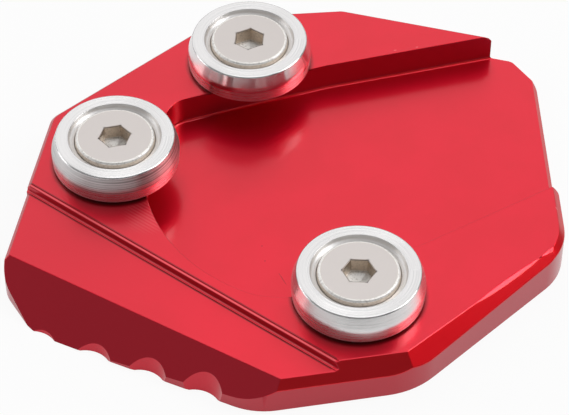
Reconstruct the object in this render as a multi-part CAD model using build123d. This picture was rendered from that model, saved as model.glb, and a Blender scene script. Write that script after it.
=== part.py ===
from build123d import *
import os
from math import cos, radians, sin, sqrt, tan

# Kickstand foot enlarger: a milled plate that spreads a side stand's foot on soft ground.
# The stand's foot lies in a pocket that opens towards +X, and three turned washers under
# flat-head screws overhang the pocket and clamp the foot down.
# The ground is Z = 0, +Z is up, and the finished plate's box is centred on X = Y = 0.

# Driving dimensions, in millimetres and degrees

# Plate outline: each corner's X, Y and rounding radius, anticlockwise seen from above
LEFT_FRONT = (-40.17, -14.58, 6.0)
GRIP_LEFT = (-35.6, -22.82, 6.0)
FRONT_LEFT = (-5.1, -38.15, 10.0)
FRONT = (17.0, -35.0, 12.0)
FRONT_RIGHT = (40.1, -13.95, 9.5)
MOUTH_SIDE = (40.1, 24.1, 4.0)
MOUTH_BACK = (36.8, 29.5, 1.5)
BACK_RIGHT = (10.7, 37.65, 2.5)
BACK_LEFT = (-8.35, 36.7, 3.0)
LEFT_BACK = (-33.93, 14.96, 3.0)

PLATE_THICKNESS = 6.5
EDGE_BREAK = 0.6
SIDE_EDGE_BREAK = 0.9
GROUND_EDGE_BREAK = 0.3

# Bevels: how far the top edge stands in from the outline at the first and last corner, and the slope
SHELF_BEVEL_FIRST_INSET = 6.95
SHELF_BEVEL_LAST_INSET = 3.4
SHELF_BEVEL_SLOPE = 41.0
FRONT_BEVEL_INSET = 2.1
CORNER_BEVEL_FIRST_INSET = 2.2
CORNER_BEVEL_LAST_INSET = 0.95
RIM_BEVEL_SLOPE = 46.0

# Slim facets filed on the corner bevel's upper edge: each one's middle along that edge, length and depth
LONG_FACET = (20.0, 14.0, 0.13)
SHORT_FACET = (29.2, 5.2, 0.11)
FACET_SLOPE = 25.0

# Shelf: the lower strip at the front left, below a step with a fine ledge above and below its wall
STEP_FROM_LEFT_BACK = 14.65
STEP_FROM_FRONT_LEFT = 13.4
STEP_DEPTH = 1.0
STEP_DRAFT = 0.15
STEP_LEDGE_WIDTH = 0.45
STEP_LEDGE_DEPTH = 0.12

# Grip flutes in the lower front left edge, cut with a cutter that leans in over the plate
FLUTE_COUNT = 4
FLUTE_PITCH = 8.45
FLUTE_FROM_FRONT = 7.8
FLUTE_RADIUS = 3.95
FLUTE_GROUND_DEPTH = 0.97
FLUTE_LEAN = 12.4

# Pocket for the stand's foot: a round heel, a back wall in two straights and a front wall
POCKET_CENTRE = (6.8, 2.25)
POCKET_RADIUS = 26.8
POCKET_DEPTH = 4.6
POCKET_FRONT_REACH = 19.6
POCKET_FRONT_ANGLE = 28.9
POCKET_HEEL_REACH = 21.1
POCKET_HEEL_ANGLE = 17.3
POCKET_BEND_ALONG = 7.33
POCKET_BACK_ANGLE = 12.9
POCKET_FRONT_CORNER_RADIUS = 12.0
POCKET_HEEL_CORNER_RADIUS = 4.0
POCKET_FLOOR_FILLET = 0.4
MOUTH_NOSE_FROM_SIDE = 6.6
MOUTH_NOSE_EDGE_BREAK = 1.0
MOUTH_CORNER_RADIUS = 0.9
MOUTH_LEAD_IN = 0.6
MOUTH_LEAD_IN_SLOPE = 45.0

# Clamp screws: each hole's place along the pocket's edge and its setback outside that edge.
# The thread is plain, at the mean diameter of an M6 thread.
LEFT_SCREW_ANGLE = 174.4
LEFT_SCREW_SETBACK = 4.25
BACK_SCREW_ALONG = -3.4
BACK_SCREW_SETBACK = 4.55
FRONT_SCREW_ALONG = -9.25
FRONT_SCREW_SETBACK = 3.4
THREAD_DIAMETER = 5.4
THREAD_CLEARANCE = 0.05
HEAD_DIAMETER = 11.8
HEAD_FACE_DIAMETER = 11.3
SCREW_LENGTH = 10.0
SOCKET_ACROSS_FLATS = 4.0
SOCKET_DEPTH = 2.2
SOCKET_EDGE_BREAK = 0.15
LEFT_SOCKET_TURN = 11.0
BACK_SOCKET_TURN = 28.0
FRONT_SOCKET_TURN = -5.0

# Clamp washers: a countersunk disc whose side is coned above its waist and nearly straight below
WASHER_THICKNESS = 4.8
WASHER_TOP_DIAMETER = 17.3
WASHER_WAIST_DIAMETER = 18.74
WASHER_WAIST_DROP = 2.15
WASHER_BAND_DIAMETER = 18.5
WASHER_EDGE_BREAK = 0.5
COUNTERSINK_DIAMETER = 13.6
BORE_CLEARANCE = 0.5

# How far cutters run past the plate
OVERRUN = 30.0


def heading(angle):
    """Unit vector in plan at this angle from +X."""
    return Vector(cos(radians(angle)), sin(radians(angle)), 0)


def left_of(direction):
    """Unit vector in plan, a quarter turn anticlockwise from the direction."""
    return Vector(-direction.Y, direction.X, 0)


def crossing(point_a, direction_a, point_b, direction_b):
    """Where two lines in plan cross."""
    across = direction_a.cross(direction_b).Z
    return point_a + direction_a * ((point_b - point_a).cross(direction_b).Z / across)


def corner(values):
    """Plan position of an outline corner."""
    return Vector(values[0], values[1], 0)


def prism_along(start, end, profile):
    """Prism along the line from start to end.

    The profile's first value runs outward, to the right of the line, and its second value runs down.
    """
    direction = (end - start).normalized()
    section = Plane(origin=(start + end) * 0.5, x_dir=-left_of(direction), z_dir=direction)
    face = section * make_face(Polyline(*profile, close=True))
    return extrude(face, amount=(end - start).length / 2 + OVERRUN, both=True)


def bevel(first, last, first_inset, last_inset, top, slope):
    """Cutter for a sloping face below an outline edge, from its top edge outward and down."""
    start = corner(first)
    end = corner(last)
    inward = left_of((end - start).normalized())
    start += inward * first_inset + Vector(0, 0, top)
    end += inward * last_inset + Vector(0, 0, top)
    drop = OVERRUN * tan(radians(slope))
    profile = [(0, 0), (OVERRUN, drop), (OVERRUN, -OVERRUN), (0, -OVERRUN)]
    return prism_along(start, end, profile)


# Places that several pieces share
floor_height = PLATE_THICKNESS - POCKET_DEPTH
shelf_height = PLATE_THICKNESS - STEP_DEPTH
outline_corners = [
    LEFT_FRONT,
    GRIP_LEFT,
    FRONT_LEFT,
    FRONT,
    FRONT_RIGHT,
    MOUTH_SIDE,
    MOUTH_BACK,
    BACK_RIGHT,
    BACK_LEFT,
    LEFT_BACK,
]
pocket_centre = corner(POCKET_CENTRE)
front_wall = heading(POCKET_FRONT_ANGLE)
back_wall = heading(POCKET_BACK_ANGLE)
heel_wall = heading(POCKET_HEEL_ANGLE)
front_foot = pocket_centre - left_of(front_wall) * POCKET_FRONT_REACH
heel_foot = pocket_centre + left_of(heel_wall) * POCKET_HEEL_REACH
bend = heel_foot + heel_wall * POCKET_BEND_ALONG
side = corner(MOUTH_SIDE)
side_edge = (corner(FRONT_RIGHT) - side).normalized()
outward = left_of(side_edge)
nose = crossing(bend, back_wall, side - outward * MOUTH_NOSE_FROM_SIDE, side_edge)
screws = {
    "left": (
        pocket_centre + heading(LEFT_SCREW_ANGLE) * (POCKET_RADIUS + LEFT_SCREW_SETBACK),
        LEFT_SOCKET_TURN,
    ),
    "back": (
        heel_foot + heel_wall * BACK_SCREW_ALONG + left_of(heel_wall) * BACK_SCREW_SETBACK,
        BACK_SOCKET_TURN,
    ),
    "front": (
        front_foot + front_wall * FRONT_SCREW_ALONG - left_of(front_wall) * FRONT_SCREW_SETBACK,
        FRONT_SOCKET_TURN,
    ),
}
thread_radius = THREAD_DIAMETER / 2
hole_radius = thread_radius + THREAD_CLEARANCE
bore_radius = thread_radius + BORE_CLEARANCE
countersink_radius = COUNTERSINK_DIAMETER / 2
head_radius = HEAD_DIAMETER / 2
head_rim_drop = countersink_radius - head_radius


def plate_outline():
    """Rounded outline of the plate at the ground."""
    points = [values[:2] for values in outline_corners]
    radii = [values[2] for values in outline_corners]
    return FilletPolyline(*points, radius=radii, close=True)


def plate_blank():
    """Block of the outline, with its upper and ground edges broken."""
    blank = extrude(make_face(plate_outline()), PLATE_THICKNESS)
    blank = chamfer(blank.edges().group_by(Axis.Z)[-1], EDGE_BREAK)
    return chamfer(blank.edges().group_by(Axis.Z)[0], GROUND_EDGE_BREAK)


def pocket_plan():
    """Plan of the pocket, run out past the plate at the mouth."""
    front_corner = front_foot - front_wall * sqrt(POCKET_RADIUS**2 - POCKET_FRONT_REACH**2)
    heel_corner = heel_foot - heel_wall * sqrt(POCKET_RADIUS**2 - POCKET_HEEL_REACH**2)
    mouth_corner = crossing(front_foot, front_wall, side, side_edge)
    mouth_end = mouth_corner + side_edge * MOUTH_CORNER_RADIUS * 3
    front_out = mouth_end + outward * OVERRUN
    back_out = nose - side_edge * OVERRUN
    far_out = front_out - side_edge * (OVERRUN + (nose - mouth_end).length)
    heel = ThreePointArc(front_corner, pocket_centre - Vector(POCKET_RADIUS, 0, 0), heel_corner)
    back = Polyline(heel_corner, bend, nose, back_out, far_out)
    front = Polyline(far_out, front_out, mouth_end, mouth_corner, front_corner)
    plan = make_face([heel, back, front])
    plan = fillet(plan.vertices().sort_by_distance(front_corner)[0], POCKET_FRONT_CORNER_RADIUS)
    plan = fillet(plan.vertices().sort_by_distance(heel_corner)[0], POCKET_HEEL_CORNER_RADIUS)
    return fillet(plan.vertices().sort_by_distance(mouth_corner)[0], MOUTH_CORNER_RADIUS)


def pocket_cutter():
    """Space of the pocket above its floor, rounded at the foot of the walls."""
    cutter = extrude(Pos(0, 0, floor_height) * pocket_plan(), POCKET_DEPTH + OVERRUN)
    return fillet(cutter.edges().group_by(Axis.Z)[0], POCKET_FLOOR_FILLET)


def mouth_cutter():
    """Space outside the lead-in along the edge of the pocket's floor at the mouth."""
    lead_in = bevel(FRONT_RIGHT, MOUTH_SIDE, MOUTH_LEAD_IN, MOUTH_LEAD_IN, floor_height, MOUTH_LEAD_IN_SLOPE)
    return lead_in & extrude(pocket_plan(), floor_height)


def nose_cutter():
    """Space outside the broken edge at the end of the back rim, beside the mouth."""
    reach = MOUTH_NOSE_EDGE_BREAK
    start = nose + side_edge * reach + Vector(0, 0, PLATE_THICKNESS)
    section = Plane(origin=start, x_dir=outward, z_dir=-side_edge)
    profile = [(-reach, 0), (reach, reach * 2), (reach, -reach), (-reach, -reach)]
    return extrude(section * make_face(Polyline(*profile, close=True)), amount=OVERRUN)


def step_line():
    """Both ends of the step's upper edge in plan, on the left and front edges of the outline."""
    left_edge = (corner(LEFT_FRONT) - corner(LEFT_BACK)).normalized()
    front_edge = (corner(FRONT) - corner(FRONT_LEFT)).normalized()
    start = corner(LEFT_BACK) + left_edge * STEP_FROM_LEFT_BACK
    end = corner(FRONT_LEFT) + front_edge * STEP_FROM_FRONT_LEFT
    return start, end


def step_cutter():
    """Space above the shelf, with the step's wall and its two fine ledges."""
    start, end = step_line()
    rise = Vector(0, 0, PLATE_THICKNESS)
    foot_ledge = STEP_DRAFT + STEP_LEDGE_WIDTH
    foot_depth = STEP_DEPTH - STEP_LEDGE_DEPTH
    profile = [
        (-STEP_LEDGE_WIDTH, -OVERRUN),
        (-STEP_LEDGE_WIDTH, STEP_LEDGE_DEPTH),
        (0, STEP_LEDGE_DEPTH),
        (STEP_DRAFT, foot_depth),
        (foot_ledge, foot_depth),
        (foot_ledge, STEP_DEPTH),
        (OVERRUN, STEP_DEPTH),
        (OVERRUN, -OVERRUN),
    ]
    return prism_along(start + rise, end + rise, profile)


def edge_cutter(start, end, reach, height, size):
    """Space outside a broken edge at this height, from a line's reach outward."""
    rise = Vector(0, 0, height)
    profile = [(reach, 0), (OVERRUN, 0), (OVERRUN, size), (reach, size)]
    slab = extrude(make_face(plate_outline()), height)
    broken = chamfer(slab.edges().group_by(Axis.Z)[-1], size)
    return prism_along(start + rise, end + rise, profile) - broken


def shelf_edge_cutter():
    """Space outside the shelf's broken edge."""
    start, end = step_line()
    return edge_cutter(start, end, STEP_DRAFT + STEP_LEDGE_WIDTH, shelf_height, EDGE_BREAK)


def side_edge_cutter():
    """Space outside the wider broken edge of the rim beside the mouth."""
    start = corner(FRONT_RIGHT)
    end = corner(MOUTH_SIDE)
    return edge_cutter(start, end, -MOUTH_NOSE_FROM_SIDE / 2, PLATE_THICKNESS, SIDE_EDGE_BREAK)


def bevel_cutters():
    """Cutters for the three sloping faces along the front."""
    shelf = bevel(
        GRIP_LEFT,
        FRONT_LEFT,
        SHELF_BEVEL_FIRST_INSET,
        SHELF_BEVEL_LAST_INSET,
        shelf_height,
        SHELF_BEVEL_SLOPE,
    )
    front = bevel(FRONT_LEFT, FRONT, FRONT_BEVEL_INSET, FRONT_BEVEL_INSET, PLATE_THICKNESS, RIM_BEVEL_SLOPE)
    corner_face = bevel(
        FRONT,
        FRONT_RIGHT,
        CORNER_BEVEL_FIRST_INSET,
        CORNER_BEVEL_LAST_INSET,
        PLATE_THICKNESS,
        RIM_BEVEL_SLOPE,
    )
    return [shelf, front, corner_face]


def facet_cutter(values):
    """Large drum whose side files a slim facet on the corner bevel's upper edge."""
    along, length, depth = values
    first = corner(FRONT)
    last = corner(FRONT_RIGHT)
    inward = left_of((last - first).normalized())
    first += inward * CORNER_BEVEL_FIRST_INSET
    last += inward * CORNER_BEVEL_LAST_INSET
    edge = (last - first).normalized()
    slope = radians(FACET_SLOPE)
    normal = Vector(0, 0, cos(slope)) - left_of(edge) * sin(slope)
    drum_radius = length**2 / (8 * depth) + depth / 2
    middle = first + edge * along + Vector(0, 0, PLATE_THICKNESS)
    axle = middle + normal * (drum_radius - depth)
    drum = Plane(origin=axle, x_dir=edge, z_dir=edge.cross(normal)) * Circle(drum_radius)
    return extrude(drum, amount=OVERRUN, both=True)


def flute_cutters():
    """Round cutters in a row along the front left edge, leaning in over the plate."""
    start = corner(FRONT_LEFT)
    edge = (corner(GRIP_LEFT) - start).normalized()
    away = left_of(edge)
    lean = radians(FLUTE_LEAN)
    axis = Vector(0, 0, cos(lean)) - away * sin(lean)
    offset = FLUTE_RADIUS / cos(lean) - FLUTE_GROUND_DEPTH
    cutters = []
    for number in range(FLUTE_COUNT):
        ground = start + edge * (FLUTE_FROM_FRONT + number * FLUTE_PITCH) + away * offset
        section = Plane(origin=ground, x_dir=edge, z_dir=axis) * Circle(FLUTE_RADIUS)
        cutters.append(extrude(section, PLATE_THICKNESS * 2, both=True))
    return cutters


def hole_cutters():
    """Tapped through holes for the screws."""
    drill = Cylinder(hole_radius, PLATE_THICKNESS, align=(Align.CENTER, Align.CENTER, Align.MIN))
    return [Pos(place) * drill for place, turn in screws.values()]


def base_plate():
    """The milled plate."""
    plate = plate_blank() - step_cutter() - shelf_edge_cutter() - side_edge_cutter() - bevel_cutters()
    plate = plate - facet_cutter(LONG_FACET) - facet_cutter(SHORT_FACET)
    plate = plate - pocket_cutter() - mouth_cutter() - nose_cutter()
    return plate - flute_cutters() - hole_cutters()


def clamp_washer():
    """Washer with its underside at Z = 0 on the screw's axis."""
    waist_height = WASHER_THICKNESS - WASHER_WAIST_DROP
    cone_foot = WASHER_THICKNESS - (countersink_radius - bore_radius)
    band_radius = WASHER_BAND_DIAMETER / 2
    profile = [
        (bore_radius, 0),
        (band_radius - WASHER_EDGE_BREAK, 0),
        (band_radius, WASHER_EDGE_BREAK),
        (WASHER_WAIST_DIAMETER / 2, waist_height),
        (WASHER_TOP_DIAMETER / 2, WASHER_THICKNESS),
        (countersink_radius, WASHER_THICKNESS),
        (bore_radius, cone_foot),
    ]
    return revolve(Plane.XZ * make_face(Polyline(*profile, close=True)), Axis.Z)


def clamp_screw(socket_turn):
    """Flat-head socket screw at its own height, with its axis on Z and its face flush with the washer."""
    top_height = PLATE_THICKNESS + WASHER_THICKNESS
    rim_height = top_height - head_rim_drop
    neck_height = rim_height - (head_radius - thread_radius)
    tip_height = top_height - SCREW_LENGTH
    profile = [
        (0, tip_height),
        (thread_radius, tip_height),
        (thread_radius, neck_height),
        (head_radius, rim_height),
        (HEAD_FACE_DIAMETER / 2, top_height),
        (0, top_height),
    ]
    body = revolve(Plane.XZ * make_face(Polyline(*profile, close=True)), Axis.Z)
    key = RegularPolygon(SOCKET_ACROSS_FLATS / 2, 6, major_radius=False, rotation=socket_turn)
    body -= extrude(Pos(0, 0, top_height) * key, -SOCKET_DEPTH)
    mouth = body.edges().group_by(Axis.Z)[-1].filter_by(GeomType.LINE)
    return chamfer(mouth, SOCKET_EDGE_BREAK)


plate = base_plate()
middle = plate.bounding_box().center()
to_frame = Pos(-middle.X, -middle.Y, 0)
os.makedirs("parts", exist_ok=True)
export_step(to_frame * plate, "parts/base_plate.step")
for name, (place, turn) in screws.items():
    washer = Pos(place.X, place.Y, PLATE_THICKNESS) * clamp_washer()
    export_step(to_frame * washer, f"parts/clamp_washer_{name}.step")
fasteners = [to_frame * Pos(place) * clamp_screw(turn) for place, turn in screws.values()]
export_step(Compound(children=fasteners), "parts/clamp_screws.step")
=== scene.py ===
import logging
import math
from dataclasses import dataclass
from enum import Enum
from typing import Any, Mapping, Optional, Sequence, Union

import bmesh
import bpy
from bmesh.types import BMEdge
from bpy.types import Material, Mesh, Node, NodeSocket, NodeTree, Object
from mathutils import Matrix, Vector
from mathutils.bvhtree import BVHTree


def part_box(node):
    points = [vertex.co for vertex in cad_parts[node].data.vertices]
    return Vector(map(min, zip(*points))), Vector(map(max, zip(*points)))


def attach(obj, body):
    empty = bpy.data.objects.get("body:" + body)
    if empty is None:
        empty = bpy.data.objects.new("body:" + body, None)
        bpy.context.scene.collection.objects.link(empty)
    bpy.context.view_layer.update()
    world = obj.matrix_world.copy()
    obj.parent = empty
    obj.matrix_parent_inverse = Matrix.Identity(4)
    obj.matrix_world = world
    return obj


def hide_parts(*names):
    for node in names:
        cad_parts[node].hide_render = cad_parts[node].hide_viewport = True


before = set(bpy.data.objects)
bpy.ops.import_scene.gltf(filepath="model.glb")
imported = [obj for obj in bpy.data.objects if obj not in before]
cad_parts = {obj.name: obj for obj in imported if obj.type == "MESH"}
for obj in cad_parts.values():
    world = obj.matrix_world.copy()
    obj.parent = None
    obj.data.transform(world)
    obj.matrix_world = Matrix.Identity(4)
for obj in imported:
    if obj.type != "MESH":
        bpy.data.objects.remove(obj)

LOG = logging.getLogger("kickstand_foot_enlarger")
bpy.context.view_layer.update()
BODY = "root"
MM = 0.001
TURN = 2.0 * math.pi
Colour = tuple[float, float, float]
Point = tuple[float, float, float]
Span = tuple[float, float]
Key = Union[str, int]
Values = Optional[Mapping[Key, Any]]


class Station(Enum):
    """The three places where a washer and a screw clamp the stand's foot."""

    LEFT = "left"
    BACK = "back"
    FRONT = "front"

    @property
    def washer_node(self) -> str:
        """Name of the washer's node in the frame."""
        return f"clamp_washer_{self.value}"

    @property
    def axis(self) -> Vector:
        """Where the screw's axis meets the ground, in metres."""
        low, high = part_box(self.washer_node)
        middle = (low + high) / 2
        return Vector((middle.x, middle.y, 0.0))


class Signal:
    """An output socket that Python expressions do arithmetic with."""

    EASED = {"interpolation_type": "SMOOTHSTEP"}

    def __init__(self, nodes: "Nodes", socket: NodeSocket) -> None:
        """Keep the socket and the tree it is in."""
        self.nodes = nodes
        self.socket = socket

    def of(self, operation: str, *others: Any) -> "Signal":
        """Put the signal, and any further values, through a Math node."""
        return self.nodes.math(operation, self, *others)

    def __add__(self, other: Any) -> "Signal":
        """Sum."""
        return self.nodes.math("ADD", self, other)

    def __radd__(self, other: Any) -> "Signal":
        """Sum, with a plain number first."""
        return self.nodes.math("ADD", other, self)

    def __sub__(self, other: Any) -> "Signal":
        """Difference."""
        return self.nodes.math("SUBTRACT", self, other)

    def __rsub__(self, other: Any) -> "Signal":
        """Difference, with a plain number first."""
        return self.nodes.math("SUBTRACT", other, self)

    def __mul__(self, other: Any) -> "Signal":
        """Product."""
        return self.nodes.math("MULTIPLY", self, other)

    def __rmul__(self, other: Any) -> "Signal":
        """Product, with a plain number first."""
        return self.nodes.math("MULTIPLY", other, self)

    def __truediv__(self, other: Any) -> "Signal":
        """Quotient."""
        return self.nodes.math("DIVIDE", self, other)

    def __rtruediv__(self, other: Any) -> "Signal":
        """Quotient, with a plain number first."""
        return self.nodes.math("DIVIDE", other, self)

    def ramp(self, low: float, high: float, to_low: float = 0.0, to_high: float = 1.0) -> "Signal":
        """Smooth step from one result to another between two values, held beyond both."""
        sockets = {"Value": self, "From Min": low, "From Max": high, "To Min": to_low, "To Max": to_high}
        return self.nodes.signal("ShaderNodeMapRange", self.EASED, sockets, "Result")


class Nodes:
    """A node tree that is written as Python expressions."""

    def __init__(self, tree: NodeTree) -> None:
        """Keep the tree."""
        self.tree = tree

    def node(self, kind: str, settings: Values = None, sockets: Values = None) -> Node:
        """Add a node.

        Args:
            kind: The node's type.
            settings: Its properties, set before its sockets.
            sockets: Values or links of its inputs, by name or place.

        Returns:
            The new node.
        """
        node = self.tree.nodes.new(kind)
        for name, value in (settings or {}).items():
            setattr(node, name, value)
        for key, value in (sockets or {}).items():
            if isinstance(value, Signal):
                self.tree.links.new(value.socket, node.inputs[key])
            else:
                node.inputs[key].default_value = value
        return node

    def signal(self, kind: str, settings: Values = None, sockets: Values = None, output: Key = 0) -> Signal:
        """Add a node and give one of its outputs, by name or place."""
        return Signal(self, self.node(kind, settings, sockets).outputs[output])

    def math(self, operation: str, *values: Any) -> Signal:
        """Add a Math node whose inputs are the values, in order."""
        return self.signal("ShaderNodeMath", {"operation": operation}, dict(enumerate(values)))

    def axes(self, vector: Signal) -> tuple[Signal, Signal, Signal]:
        """Split a vector into its three values."""
        node = self.node("ShaderNodeSeparateXYZ", None, {"Vector": vector})
        return tuple(Signal(self, output) for output in node.outputs)

    def vector(self, x: Any, y: Any, z: Any) -> Signal:
        """Join three values into a vector."""
        return self.signal("ShaderNodeCombineXYZ", None, {"X": x, "Y": y, "Z": z})

    def mix(self, factor: Any, first: Any, second: Any) -> Signal:
        """Blend two colours, or signals of them, by the share of the second."""
        sockets = {0: factor, 6: self._rgba(first), 7: self._rgba(second)}
        return self.signal("ShaderNodeMix", {"data_type": "RGBA"}, sockets, 2)

    @staticmethod
    def _rgba(colour: Any) -> Any:
        """Give a plain colour its fourth value."""
        return colour if isinstance(colour, Signal) else (*colour, 1.0)


@dataclass(frozen=True)
class Texture:
    """Soft noise around 0.5 that varies a finish.

    Args:
        scale: Bumps in each unit of the place where it is read.
        detail: Number of finer layers.
        gain: Strength of the finer layers.
        rough: Change that it makes to the roughness.
        depth: Depth of its relief, in millimetres.
    """

    scale: float
    detail: float
    gain: float
    rough: float = 0.0
    depth: float = 0.0


class Shader(Nodes):
    """A material's node tree, with what the finishes share."""

    def __init__(self, name: str) -> None:
        """Start an empty material.

        Args:
            name: The material's name.
        """
        self.material = bpy.data.materials.new(name)
        self.material.use_nodes = True
        super().__init__(self.material.node_tree)
        self.tree.nodes.clear()

    def place(self, middle: Sequence[float] = (0.0, 0.0, 0.0), turn: float = 0.0) -> Signal:
        """Object coordinates in millimetres.

        Args:
            middle: Point that becomes the pattern's origin, in metres.
            turn: How far the pattern turns about +Z, in degrees.

        Returns:
            The coordinates.
        """
        coordinates = self.signal("ShaderNodeTexCoord", output="Object")
        from_middle = {0: coordinates, 1: tuple(middle)}
        moved = self.signal("ShaderNodeVectorMath", {"operation": "SUBTRACT"}, from_middle)
        turned = {"Vector": moved, "Rotation": (0.0, 0.0, math.radians(turn)), "Scale": (1 / MM,) * 3}
        return self.signal("ShaderNodeMapping", {"vector_type": "POINT"}, turned)

    def attribute(self, name: str) -> Signal:
        """A number that the piece's mesh carries at each point."""
        return self.signal("ShaderNodeAttribute", {"attribute_name": name}, output="Fac")

    def noise(self, vector: Signal, texture: Texture) -> Signal:
        """Read a texture at a place."""
        grain = {"Scale": texture.scale, "Detail": texture.detail, "Roughness": texture.gain}
        return self.signal("ShaderNodeTexNoise", None, {"Vector": vector, **grain}, "Fac")

    def bump(self, height: Signal, depth: float, under: Optional[Signal] = None) -> Signal:
        """Surface relief.

        Args:
            height: Relief, from 0 to 1.
            depth: Its full depth, in millimetres.
            under: Normal of a coarser relief below this one.

        Returns:
            The bumped normal.
        """
        sockets: dict[str, Any] = {"Height": height, "Distance": depth * MM, "Strength": 1.0}
        if under is not None:
            sockets["Normal"] = under
        return self.signal("ShaderNodeBump", None, sockets)

    def metal(self, colour: Signal, roughness: Signal, normal: Signal, extra: Values = None) -> Material:
        """Close the tree with a metal surface.

        Args:
            colour: Its base colour.
            roughness: Its roughness.
            normal: Its bumped normal.
            extra: Further sockets of the Principled node.

        Returns:
            The finished material.
        """
        sockets = {"Base Color": colour, "Metallic": 1.0, "Roughness": roughness, "Normal": normal}
        surface = self.signal("ShaderNodeBsdfPrincipled", None, {**sockets, **(extra or {})}, "BSDF")
        self.node("ShaderNodeOutputMaterial", None, {"Surface": surface})
        return self.material


@dataclass(frozen=True)
class Mark:
    """One small scratch, nick or speck in a finish.

    Args:
        place: Its middle, in millimetres.
        turn: Direction of its length about +Z, in degrees.
        length: Half its length.
        width: Half its width.
        worn: True where the dye is worn pale, False where dirt darkens it.
    """

    place: Point
    turn: float
    length: float
    width: float
    worn: bool


@dataclass(frozen=True)
class RedAnodised:
    """Dyed and sealed oxide over finely milled aluminium, in millimetres and degrees."""

    dye: Colour = (0.86, 0.004, 0.030)
    deep_dye: Colour = (0.83, 0.004, 0.027)
    cloud: Texture = Texture(0.12, 3.0, 0.55, rough=0.06)
    cloud_edge: Span = (0.35, 0.65)
    grain: Texture = Texture(9.0, 2.0, 0.6, rough=0.10, depth=0.0025)
    roughness: float = 0.42
    seal_roughness: float = 0.17
    seal_ior: float = 1.48
    # The plate's colour darkens smoothly towards its left end, by x position: the colour, the x span and the
    # share at the left end.
    left_end_colour: Colour = (0.72, 0.004, 0.026)
    left_end_reach: Span = (-38.0, -4.0)
    left_end_share: float = 0.8
    # Painted light on slopes facing right, painted shade on outer walls, flutes and left-facing slopes, and a
    # darker, greyer painted shade on the pocket walls.
    slope_painted_light: Colour = (0.92, 0.004, 0.012)
    wall_painted_shade: Colour = (0.50, 0.010, 0.028)
    pocket_painted_shade: Colour = (0.62, 0.030, 0.075)
    # Painted contact shadow on the plate round each washer's foot: its colour, its span of distance from the
    # washer's axis, and the height above which it lies.
    gap_painted_shadow: Colour = (0.20, 0.003, 0.006)
    gap_shadow_reach: Span = (9.0, 10.0)
    gap_shadow_height: float = 6.2
    # Pale colour for real worn marks and milling ripples, and for painted highlight lines along the step;
    # dark colour for real specks and scores, and for painted shade lines along the step.
    worn_and_highlight_dye: Colour = (0.98, 0.20, 0.22)
    scored_and_shade_dye: Colour = (0.24, 0.003, 0.010)
    step_start: Point = (-36.67, 0.37, 0.0)
    step_turn: float = 39.26
    step_length: float = 55.0
    step_fade: float = 0.3
    step_height: float = 5.3
    # Painted highlight lines (pale) and painted shade lines (dark) along the step, as distance from its upper
    # edge and half width.
    highlight_lines: tuple[Span, ...] = ((-0.22, 0.16), (0.28, 0.12))
    highlight_line_share: float = 0.45
    shade_lines: tuple[Span, ...] = ((-0.56, 0.13), (0.70, 0.12))
    score_and_shade_share: float = 0.75
    line_core: float = 0.6
    ripple_middle: Point = (-19.4, -6.2, 6.5)
    ripple_reach: float = 4.2
    ripple_flatness: float = 40.0
    ripple_pitch: float = 0.50
    ripple_share: float = 0.22
    ripple_depth: float = 0.012
    ragged: Texture = Texture(5.0, 2.0, 0.6)
    raggedness: float = 1.2
    mark_edge: Span = (0.9, 1.5)
    mark_height: float = 0.3
    mark_share: float = 0.8
    marks: tuple[Mark, ...] = (
        Mark((-15.6, 16.6, 6.5), 30.0, 1.10, 0.30, True),
        Mark((-0.55, -14.9, 1.9), -66.0, 1.60, 0.06, False),
        Mark((-2.95, -11.34, 1.9), 0.0, 0.12, 0.12, False),
        Mark((-3.30, -8.39, 1.9), 20.0, 0.14, 0.09, False),
        Mark((-27.11, -26.94, 3.8), 0.0, 0.13, 0.13, True),
        Mark((39.1, -6.6, 6.4), -70.0, 0.35, 0.12, True),
        Mark((18.2, 27.8, 6.5), 6.0, 0.30, 0.10, True),
        Mark((21.6, 28.4, 6.5), 6.0, 0.25, 0.10, True),
    )

    def _gap_shadow(self, shader: Shader) -> Signal:
        """Where a painted contact shadow darkens the plate in a ring under and just round each washer's edge.

        Args:
            shader: The material's tree.

        Returns:
            1 in the painted shadow, 0 elsewhere.
        """
        nearest: Any = self.gap_shadow_reach[1]
        for station in Station:
            x, y, z = shader.axes(shader.place(station.axis))
            nearest = (x * x + y * y).of("SQRT").of("MINIMUM", nearest)
        return nearest.ramp(*self.gap_shadow_reach, 1.0, 0.0) * z.of("GREATER_THAN", self.gap_shadow_height)

    def _step(self, shader: Shader) -> tuple[Signal, Signal]:
        """Where the plate lies beside the shelf's step.

        Args:
            shader: The material's tree.

        Returns:
            The distance from the step's upper edge, and 1 where the step's lines may lie.
        """
        along, across, height = shader.axes(shader.place(Vector(self.step_start) * MM, self.step_turn))
        before_end = along.ramp(self.step_length - self.step_fade, self.step_length, 1.0, 0.0)
        return across * -1.0, height.of("GREATER_THAN", self.step_height) * before_end

    def _lines(self, across: Signal, lines: Sequence[Span]) -> Signal:
        """Lines painted along the step's edges: pale painted highlights where its rounded edges would catch
        light, and dark painted shade lines beside them.

        Args:
            across: Distance from the step's upper edge.
            lines: Place and half width of each line.

        Returns:
            1 on the lines, 0 elsewhere.
        """
        share: Any = 0.0
        for place, width in lines:
            away = (across - place).of("ABSOLUTE")
            share = away.ramp(width * self.line_core, width, 1.0, 0.0) + share
        return share

    def _ripple(self, shader: Shader, across: Signal) -> Signal:
        """The ripple that a cutter left near the left washer.

        Args:
            shader: The material's tree.
            across: Distance from the step's upper edge.

        Returns:
            The ripple's height, from 0 to 1.
        """
        x, y, z = shader.axes(shader.place(Vector(self.ripple_middle) * MM))
        away = x * x + y * y + z * z * self.ripple_flatness
        near = away.ramp(0.0, self.ripple_reach * self.ripple_reach, 1.0, 0.0)
        return ((across * (TURN / self.ripple_pitch)).of("SINE") * 0.5 + 0.5) * near

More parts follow.
